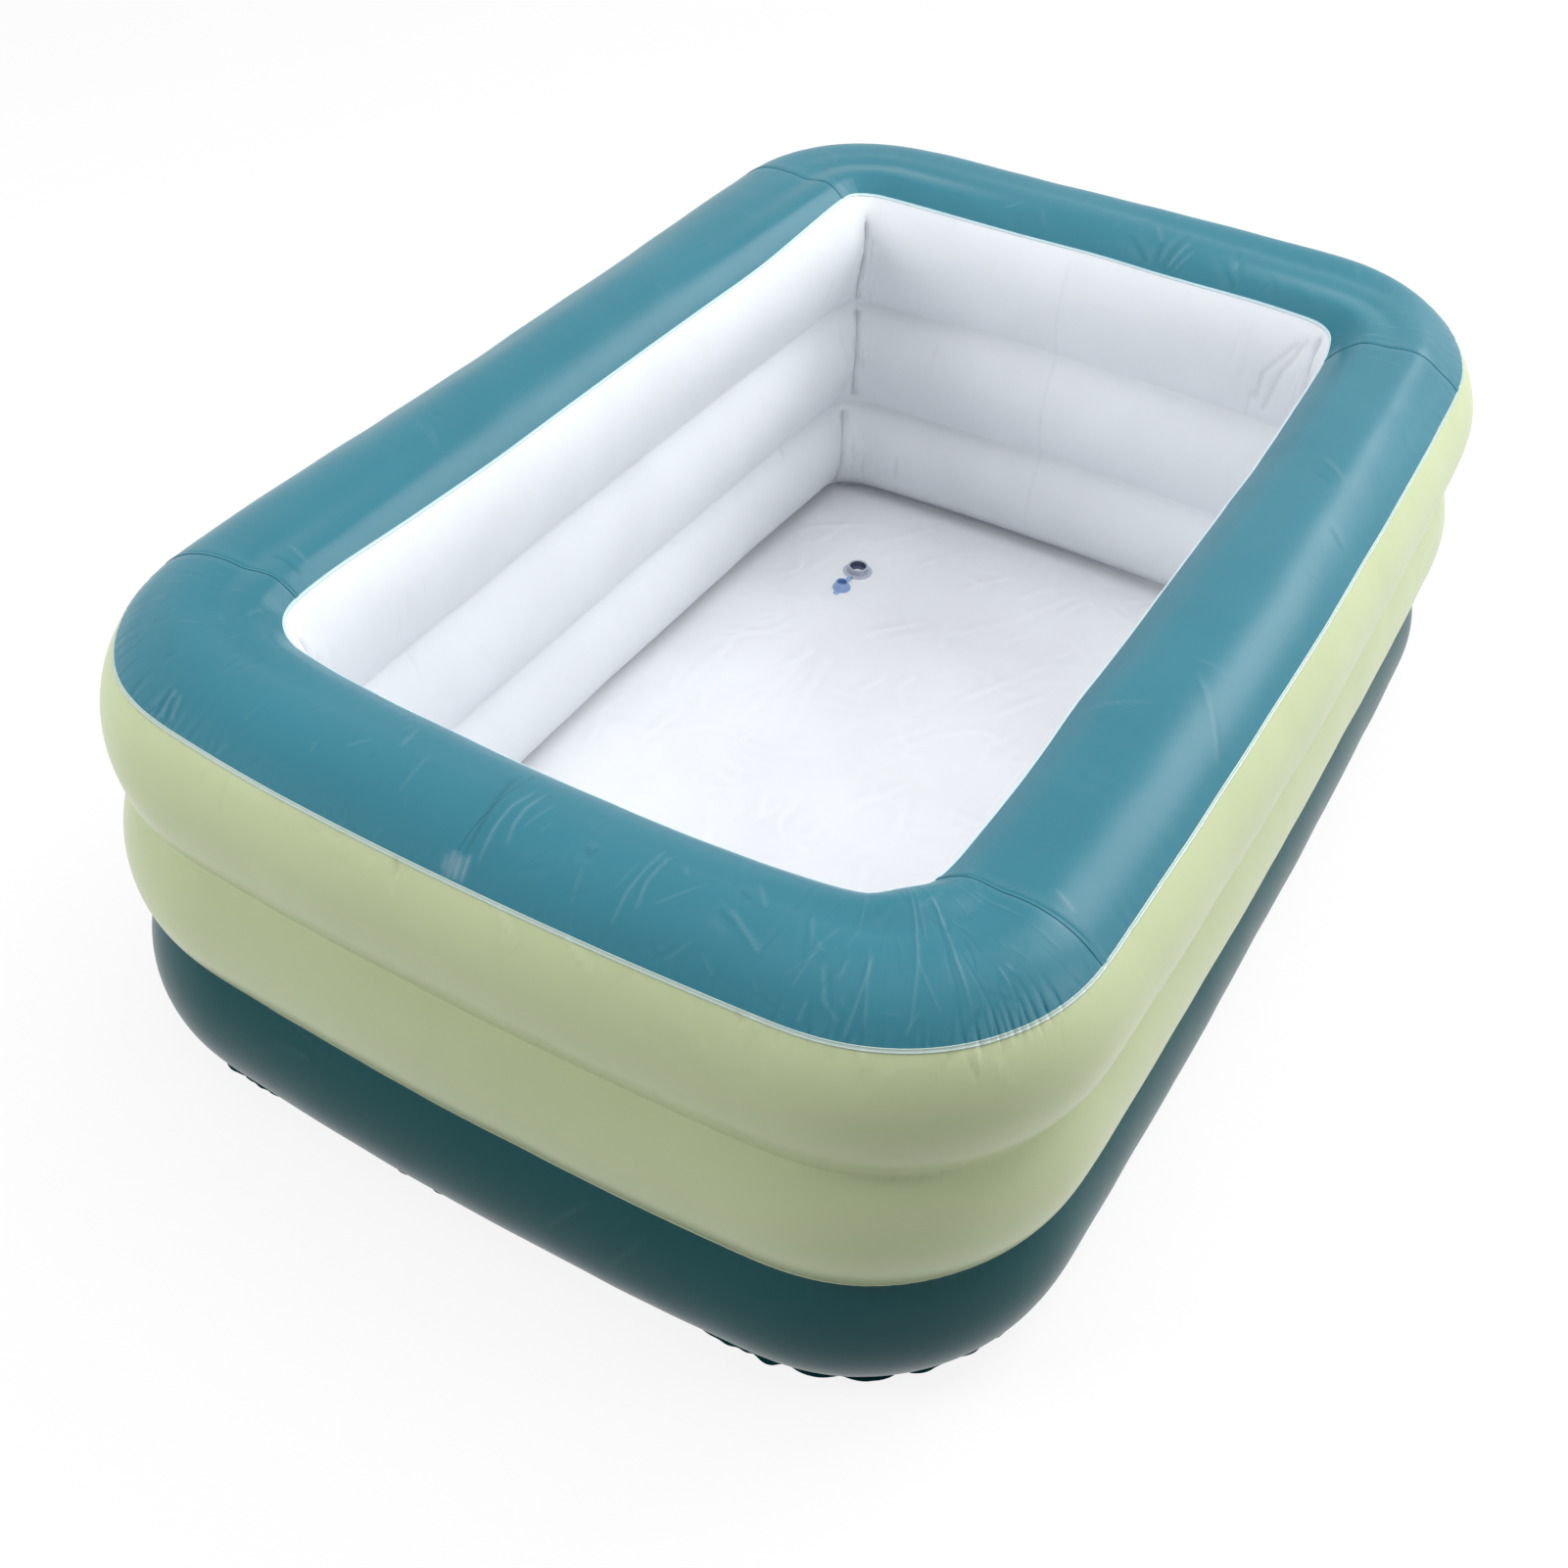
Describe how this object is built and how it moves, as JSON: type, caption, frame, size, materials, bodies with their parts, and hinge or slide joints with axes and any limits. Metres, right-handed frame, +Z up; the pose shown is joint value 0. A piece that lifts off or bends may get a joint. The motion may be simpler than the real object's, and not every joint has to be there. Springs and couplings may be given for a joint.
{
  "type": "inflatable pool",
  "caption": "Rectangular inflatable family pool: stacked air rings of vinyl film with level webs, a floor sheet, strapped inflation valves and a floor drain with a strapped plug.",
  "frame": {"origin": "on the ground under the centre of the pool", "axes": "+Y along the pool's length towards the wall that holds the inflation valves, +X across its width, +Z up"},
  "size_m": [1.4252, 2.1011, 0.65],
  "materials": {
    "white_vinyl": "soft glossy PVC film",
    "dark_green_vinyl": "soft glossy PVC film",
    "light_green_vinyl": "soft glossy PVC film",
    "teal_vinyl": "soft glossy PVC film",
    "clear_vinyl": "clear moulded soft PVC",
    "blue_vinyl": "clear blue moulded soft PVC"
  },
  "bodies": {
    "pool": {"floor_sheet": "white_vinyl", "inner_wall": "white_vinyl", "lower_web": "white_vinyl", "upper_web": "white_vinyl", "lower_outer_wall": "dark_green_vinyl", "upper_outer_wall": "light_green_vinyl", "front_top_panel": "teal_vinyl", "back_top_panel": "teal_vinyl", "left_top_panel": "teal_vinyl", "right_top_panel": "teal_vinyl", "drain_body": "clear_vinyl", "lower_valve_body": "clear_vinyl", "middle_valve_body": "clear_vinyl", "upper_valve_body": "clear_vinyl"},
    "drain_plug": {"drain_plug": "blue_vinyl"},
    "lower_valve_stopper": {"lower_valve_stopper": "blue_vinyl"},
    "middle_valve_stopper": {"middle_valve_stopper": "blue_vinyl"},
    "upper_valve_stopper": {"upper_valve_stopper": "blue_vinyl"},
    "lower_check_flap": {"lower_check_flap": "clear_vinyl"},
    "middle_check_flap": {"middle_check_flap": "clear_vinyl"},
    "upper_check_flap": {"upper_check_flap": "clear_vinyl"}
  },
  "joints": [
    {"name": "drain_plug_hinge", "type": "hinge", "parent": "pool", "child": "drain_plug", "pos_m": [-0.277, 0.505, 0.0086], "axis": [-1, 0, 0], "range_deg": [0, 180]},
    {"name": "lower_stopper_hinge", "type": "hinge", "parent": "pool", "child": "lower_valve_stopper", "pos_m": [0, 1.052, 0.11195], "axis": [1, 0, 0], "range_deg": [0, 150]},
    {"name": "lower_flap_hinge", "type": "hinge", "parent": "pool", "child": "lower_check_flap", "pos_m": [0, 1.02774, 0.10755], "axis": [-1, 0, 0], "range_deg": [0, 65], "stiffness_Nm_per_rad": 0.0004},
    {"name": "middle_stopper_hinge", "type": "hinge", "parent": "pool", "child": "middle_valve_stopper", "pos_m": [0, 1.05235, 0.319], "axis": [1, 0, 0], "range_deg": [0, 150]},
    {"name": "middle_flap_hinge", "type": "hinge", "parent": "pool", "child": "middle_check_flap", "pos_m": [0, 1.0281, 0.3146], "axis": [-1, 0, 0], "range_deg": [0, 65], "stiffness_Nm_per_rad": 0.0004},
    {"name": "upper_stopper_hinge", "type": "hinge", "parent": "pool", "child": "upper_valve_stopper", "pos_m": [0, 1.05235, 0.529], "axis": [1, 0, 0], "range_deg": [0, 150]},
    {"name": "upper_flap_hinge", "type": "hinge", "parent": "pool", "child": "upper_check_flap", "pos_m": [0, 1.0281, 0.5246], "axis": [-1, 0, 0], "range_deg": [0, 65], "stiffness_Nm_per_rad": 0.0004}
  ]
}
